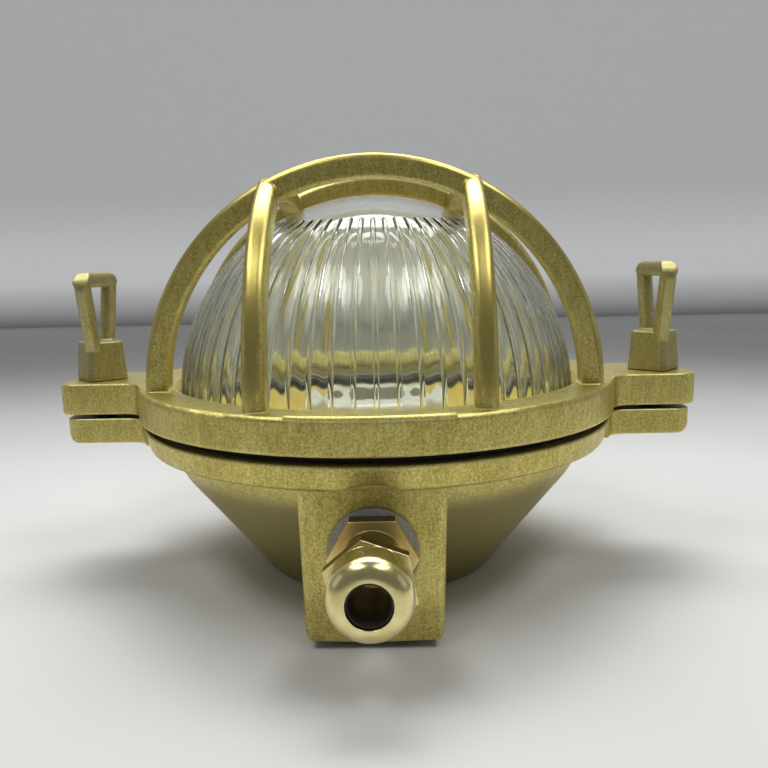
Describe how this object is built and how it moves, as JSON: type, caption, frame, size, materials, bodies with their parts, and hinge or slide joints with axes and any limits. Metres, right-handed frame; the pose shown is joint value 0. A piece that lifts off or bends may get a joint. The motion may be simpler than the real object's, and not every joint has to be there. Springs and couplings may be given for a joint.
{
  "type": "bulkhead light",
  "caption": "Round cast-brass bulkhead light: ribbed glass dome under a guard of crossing arches, clamped by loop-headed toggle screws, with a cable gland in the side of the bowl.",
  "frame": {"origin": "centre of the bowl's flat back, in the plane of the wall", "axes": "+Z away from the wall along the light's axis, the cable gland towards -Y, the two pairs of ears along +X and -X"},
  "size_m": [0.2276, 0.1984, 0.143],
  "materials": {
    "cast_brass": "satin, sand-cast and brushed, polished crests",
    "turned_brass": "turned and polished",
    "clear_glass": "clear pressed glass",
    "black_rubber": "matt black",
    "grey_fibre": "matt grey sealing washer",
    "plated_steel": "zinc plated",
    "white_porcelain": "white glaze"
  },
  "bodies": {
    "base": {"base_casting": "cast_brass", "base_gasket": "black_rubber", "glass_dome": "clear_glass", "gland_washer": "grey_fibre", "gland_body": "turned_brass", "gland_locknut": "turned_brass", "gland_seal": "black_rubber", "gland_slip_ring": "plated_steel", "lampholder_bracket": "plated_steel", "bracket_screws": "plated_steel", "bracket_washers": "plated_steel", "lampholder_body": "white_porcelain", "lampholder_shell": "turned_brass", "centre_contact": "turned_brass", "lampholder_screws": "plated_steel", "terminal_plates": "turned_brass", "terminal_screws": "plated_steel", "earth_screw": "turned_brass", "earth_washer": "plated_steel"},
    "guard": {"guard_casting": "cast_brass", "ring_gasket": "black_rubber"},
    "toggle_left": {"toggle_screw_left": "cast_brass"},
    "toggle_right": {"toggle_screw_right": "cast_brass"},
    "cap_nut": {"gland_nut": "turned_brass"}
  },
  "joints": [
    {"name": "guard_lift", "type": "slide", "parent": "base", "child": "guard", "axis": [0, 0, 1], "range_m": [0, 0.1]},
    {"name": "toggle_left_turn", "type": "hinge", "parent": "guard", "child": "toggle_left", "pos_m": [-0.1024, 0, 0.075], "axis": [0, 0, 1], "continuous": true},
    {"name": "toggle_right_turn", "type": "hinge", "parent": "guard", "child": "toggle_right", "pos_m": [0.1024, 0, 0.075], "axis": [0, 0, 1], "continuous": true},
    {"name": "gland_nut_turn", "type": "hinge", "parent": "base", "child": "cap_nut", "pos_m": [0, -0.104, 0.0289], "axis": [0, 1, 0], "continuous": true}
  ]
}
